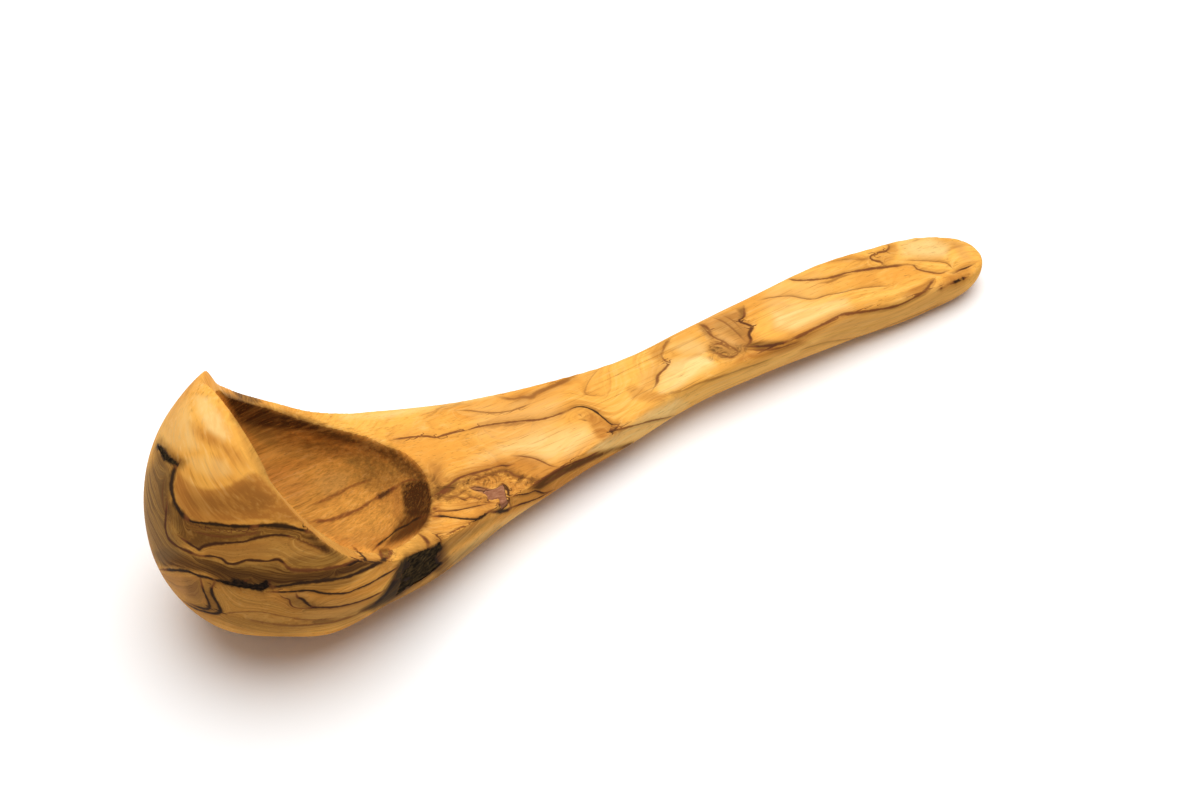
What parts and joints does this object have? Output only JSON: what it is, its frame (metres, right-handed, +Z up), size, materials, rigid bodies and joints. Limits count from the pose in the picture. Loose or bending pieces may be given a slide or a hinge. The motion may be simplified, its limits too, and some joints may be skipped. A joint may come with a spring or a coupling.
{
  "type": "wooden ladle",
  "caption": "Short wooden ladle carved in one piece, with a deep egg-shaped bowl whose sawn mouth slopes down into a gently arched handle, for serving soups and sauces.",
  "frame": {"origin": "on the table, under the middle of the ladle's length and of the bowl's width", "axes": "+X along the length towards the end of the handle, +Z up off the table, Y across"},
  "size_m": [0.2994, 0.077, 0.0863],
  "materials": {
    "olive_wood": "oiled and sanded, honey gold with dark figure",
    "putty": "matt wood putty, pinkish brown",
    "bark": "rough ingrown bark, nearly black",
    "seam_fill": "sanded flush, black"
  },
  "bodies": {
    "root": {"ladle_body": "olive_wood", "knot_filler": "putty", "flank_bark": "bark", "front_seam_fill": "seam_fill", "notch_bark": "bark"}
  },
  "joints": []
}
